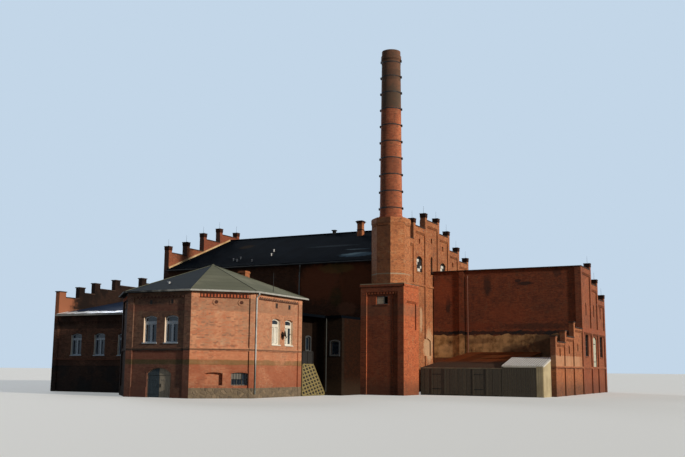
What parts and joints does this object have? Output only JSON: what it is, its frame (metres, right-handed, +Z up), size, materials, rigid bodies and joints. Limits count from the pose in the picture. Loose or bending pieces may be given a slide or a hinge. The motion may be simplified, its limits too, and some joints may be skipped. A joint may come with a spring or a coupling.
{
  "type": "brick factory building",
  "caption": "Brick factory with stepped gables, a tall banded round chimney, a blank wing, yard sheds and an eight-sided pavilion with an opening timber double door.",
  "frame": {"origin": "centre of the chimney's foot on the ground", "axes": "+Z up, +X along the hall's long front towards the wing, +Y from the pavilion to the back of the hall"},
  "size_m": [35.09, 39.495, 27.05],
  "materials": {
    "brick": "fired clay brick in lime mortar",
    "chimney_brick": "sooty fired clay brick",
    "felt": "bitumen roofing felt",
    "green_felt": "weathered grey-green roofing felt",
    "coping": "dark weathered brick and mortar",
    "glass": "old window glass",
    "timber": "weathered boards",
    "pale_wood": "pale painted lattice",
    "steel": "sooty flat steel",
    "plaster": "rough lime plaster",
    "white_sheet": "white corrugated sheet"
  },
  "bodies": {
    "building": {"stack_base": "chimney_brick", "stack_shaft": "chimney_brick", "stack_bands": "steel", "tower_walls": "brick", "tower_roof": "felt", "hall_front_wall": "brick", "hall_back_wall": "brick", "hall_right_gable": "brick", "hall_left_gable": "brick", "hall_roof_front": "felt", "hall_roof_back": "felt", "gable_copings": "coping", "hall_glass": "glass", "roof_vent": "brick", "wing_front_wall": "brick", "wing_back_wall": "brick", "wing_gable": "brick", "wing_roof": "felt", "wing_copings": "coping", "wing_glass": "glass", "yard_gable": "brick", "yard_copings": "coping", "long_shed_front": "plaster", "long_shed_roof": "felt", "side_shed_walls": "plaster", "side_shed_roof": "white_sheet", "pavilion_front_left": "brick", "pavilion_front_right": "brick", "pavilion_front_upper": "brick", "pavilion_right_corner": "brick", "pavilion_left_corner": "brick", "pavilion_right_wall": "brick", "pavilion_left_wall": "brick", "pavilion_back_wall": "brick", "pavilion_floor": "timber", "pavilion_roof": "green_felt", "pavilion_flue": "brick", "pavilion_glass": "glass", "door_frame": "timber", "range_front_wall": "brick", "range_left_wall": "brick", "range_cross_wall": "brick", "range_roof": "felt", "range_copings": "coping", "range_glass": "glass", "link_side_wall": "brick", "link_front_wall": "brick", "link_end_wall": "brick", "link_roof": "felt", "link_door": "timber", "stair_treads": "timber", "stair_beams": "timber", "stair_lattice": "pale_wood", "stair_rail": "timber", "gutters": "steel", "downpipes": "steel"},
    "left_leaf": {"door_leaf_left": "timber"},
    "right_leaf": {"door_leaf_right": "timber"}
  },
  "joints": [
    {"name": "left_leaf_hinge", "type": "hinge", "parent": "building", "child": "left_leaf", "pos_m": [-8.08, -18.652, 0], "axis": [0, 0, -1], "range_deg": [0, 90]},
    {"name": "right_leaf_hinge", "type": "hinge", "parent": "building", "child": "right_leaf", "pos_m": [-6.38, -18.652, 0], "axis": [0, 0, 1], "range_deg": [0, 90]}
  ]
}
